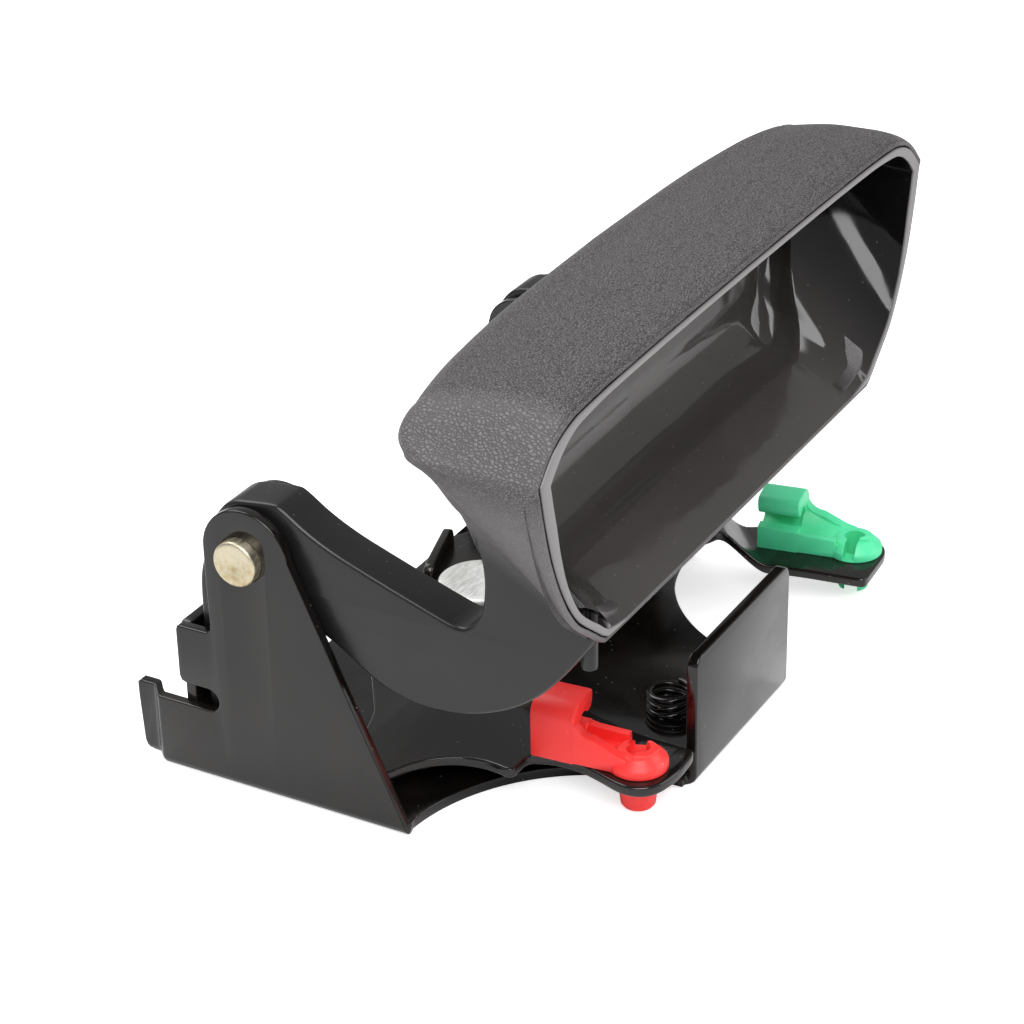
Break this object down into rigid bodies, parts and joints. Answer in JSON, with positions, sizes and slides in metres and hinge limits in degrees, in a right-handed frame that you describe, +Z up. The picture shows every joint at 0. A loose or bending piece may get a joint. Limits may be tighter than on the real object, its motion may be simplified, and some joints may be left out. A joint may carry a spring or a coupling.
{
  "type": "tailgate handle",
  "caption": "Outside tailgate handle: hollow grip on gooseneck arms pivots in a stamped bracket and works stacked bell-crank levers with swivelling rod clips.",
  "frame": {"origin": "on the underside of the bracket's base plate, midway between the ears", "axes": "+X along the grip from the red clip to the green clip, -Y is the way the finger pocket faces, +Z is up from the base plate"},
  "size_m": [0.1808, 0.117, 0.1151],
  "materials": {
    "bracket_paint": "gloss black paint",
    "grip_plastic": "charcoal black, leather grain on the grip, satin arms",
    "liner_plastic": "gloss black, satin rim",
    "pin_zinc": "yellow passivated zinc, bare staked end",
    "lever_paint": "gloss black paint",
    "rivet_zinc": "bright zinc",
    "spacer_steel": "plain zinc",
    "clip_red": "satin red nylon",
    "clip_green": "satin green nylon",
    "spring_black": "gloss black coated wire"
  },
  "bodies": {
    "base": {"bracket": "bracket_paint", "left_pin": "pin_zinc", "right_pin": "pin_zinc", "lever_rivet": "rivet_zinc", "lever_spacer": "spacer_steel", "base_spring": "spring_black"},
    "handle": {"handle_body": "grip_plastic", "pocket_liner": "liner_plastic"},
    "lower_lever": {"left_lever": "lever_paint"},
    "upper_lever": {"right_lever": "lever_paint"},
    "red_clip": {"left_clip": "clip_red"},
    "green_clip": {"right_clip": "clip_green"}
  },
  "joints": [
    {"name": "handle_pivot", "type": "hinge", "parent": "base", "child": "handle", "pos_m": [0, 0.03, 0.057], "axis": [-1, 0, 0], "range_deg": [0, 25], "stiffness_Nm_per_rad": 0.4, "springref_deg": -20.05},
    {"name": "left_lever_pivot", "type": "hinge", "parent": "base", "child": "lower_lever", "pos_m": [0.004, 0.016, 0.0088], "axis": [0, 0, 1], "range_deg": [-15, 0]},
    {"name": "right_lever_pivot", "type": "hinge", "parent": "base", "child": "upper_lever", "pos_m": [0.004, 0.016, 0.0158], "axis": [0, 0, -1], "range_deg": [0, 19.5]},
    {"name": "left_clip_swivel", "type": "hinge", "parent": "lower_lever", "child": "red_clip", "pos_m": [-0.035, -0.0442, 0.01], "axis": [0, 0, 1], "range_deg": [-45, 90]},
    {"name": "right_clip_swivel", "type": "hinge", "parent": "upper_lever", "child": "green_clip", "pos_m": [0.0712, -0.0475, 0.01], "axis": [0, 0, 1], "range_deg": [-90, 0]}
  ],
  "couplings": [
    {"joint": "right_lever_pivot", "follows": "handle_pivot", "ratio": 0.77}
  ]
}
